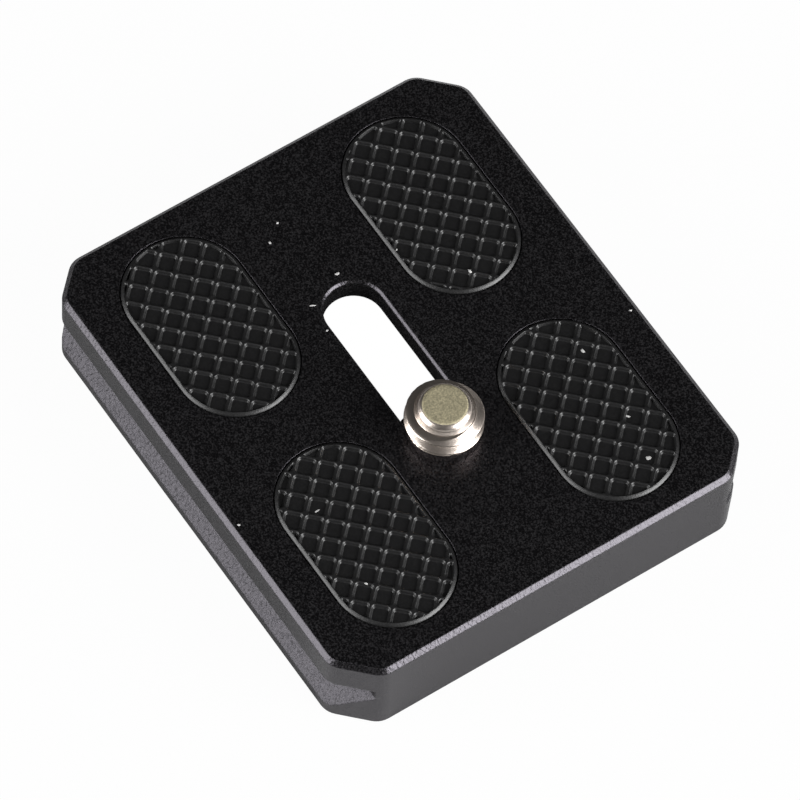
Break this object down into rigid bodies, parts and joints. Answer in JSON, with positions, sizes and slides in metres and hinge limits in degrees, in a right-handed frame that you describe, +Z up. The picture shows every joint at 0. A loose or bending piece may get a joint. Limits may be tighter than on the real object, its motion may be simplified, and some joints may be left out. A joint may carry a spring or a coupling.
{
  "type": "tripod adapter plate",
  "caption": "Quick-release tripod adapter plate with dovetail edges, rubber pads and a captive camera screw that slides in a slot.",
  "frame": {"origin": "middle of the underside's outline, on the plane of the underside", "axes": "+X along the slot towards the end where the screw rests, +Y across the plate, +Z up towards the camera"},
  "size_m": [0.044, 0.038, 0.0116],
  "materials": {
    "anodised_aluminium": "fine-blasted black anodised",
    "pad_rubber": "moulded matt black rubber",
    "plated_steel": "turned steel with bright nickel plating",
    "washer_plastic": "black nylon",
    "ring_wire": "drawn stainless wire",
    "black_steel": "black oxide"
  },
  "bodies": {
    "plate": {"plate_body": "anodised_aluminium", "pad_rear_left": "pad_rubber", "pad_rear_right": "pad_rubber", "pad_front_left": "pad_rubber", "pad_front_right": "pad_rubber", "stop_screw_front": "black_steel", "stop_screw_rear": "black_steel"},
    "screw_carrier": {"screw_washer": "washer_plastic"},
    "screw": {"camera_screw": "plated_steel"},
    "ring": {"d_ring": "ring_wire"}
  },
  "joints": [
    {"name": "screw_slide", "type": "slide", "parent": "plate", "child": "screw_carrier", "axis": [1, 0, 0], "range_m": [-0.01248, 0]},
    {"name": "screw_turn", "type": "hinge", "parent": "screw_carrier", "child": "screw", "pos_m": [0.00624, 0, 0.0045], "axis": [0, 0, 1], "continuous": true},
    {"name": "ring_fold", "type": "hinge", "parent": "screw", "child": "ring", "pos_m": [0.00624, 0, 0.0021], "axis": [0, 1, 0], "range_deg": [-39, 196]}
  ]
}
